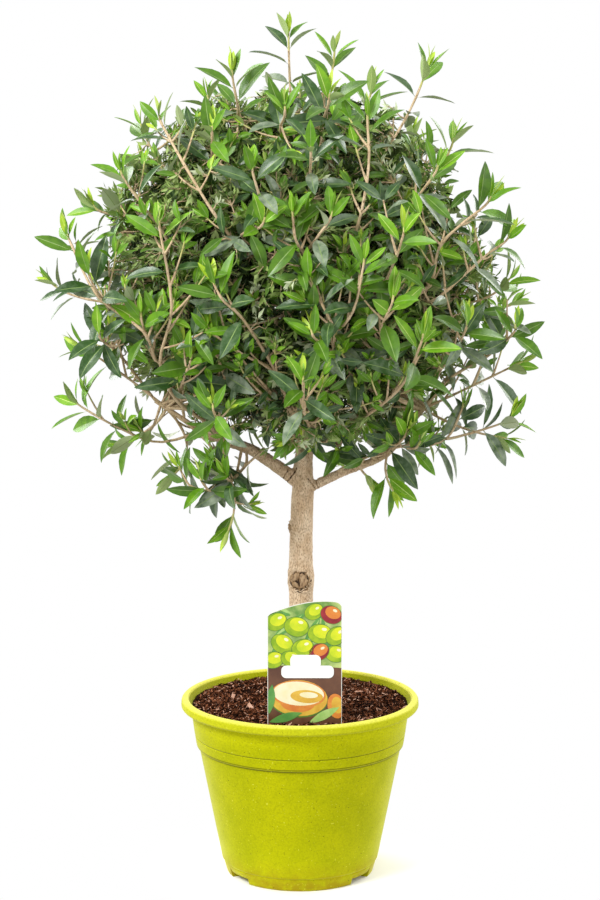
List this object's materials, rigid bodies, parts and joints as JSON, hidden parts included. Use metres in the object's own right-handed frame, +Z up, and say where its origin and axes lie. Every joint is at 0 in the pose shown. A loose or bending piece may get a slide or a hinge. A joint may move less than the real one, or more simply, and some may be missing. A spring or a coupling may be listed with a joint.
{
  "type": "potted olive tree",
  "caption": "Young olive tree in a tapered round plastic pot with a rolled lip, a straight bare stem, a ball of slender grey-green leaves and a blank plant card.",
  "frame": {"origin": "centre of the pot's flat underside, on the floor it stands on", "axes": "+Z up along the stem, -Y towards the side with the plant card, +X to the right seen from that side"},
  "size_m": [0.4951, 0.4411, 0.8695],
  "materials": {
    "pot_plastic": "matte",
    "potting_mix": "matte",
    "card_face": "satin",
    "bark": "matte",
    "leaf": "satin"
  },
  "bodies": {
    "root": {"pot": "pot_plastic", "soil": "potting_mix", "label_card": "card_face", "trunk": "bark", "bough_mid_left": "bark", "bough_low_left": "bark", "bough_low_right": "bark", "bough_mid_right": "bark", "bough_low_front": "bark", "bough_low_back": "bark", "bough_mid_front": "bark", "bough_mid_back_right": "bark", "bough_mid_back_left": "bark", "bough_upper_left": "bark", "bough_upper_front": "bark", "bough_upper_back": "bark", "foliage_low_left": "leaf", "foliage_low_front": "leaf", "foliage_low_right": "leaf", "foliage_low_back": "leaf", "foliage_mid_left": "leaf", "foliage_mid_front": "leaf", "foliage_mid_right": "leaf", "foliage_mid_back_right": "leaf", "foliage_mid_back_left": "leaf", "foliage_upper_left": "leaf", "foliage_upper_front": "leaf", "foliage_upper_back": "leaf", "foliage_top": "leaf"}
  },
  "joints": []
}
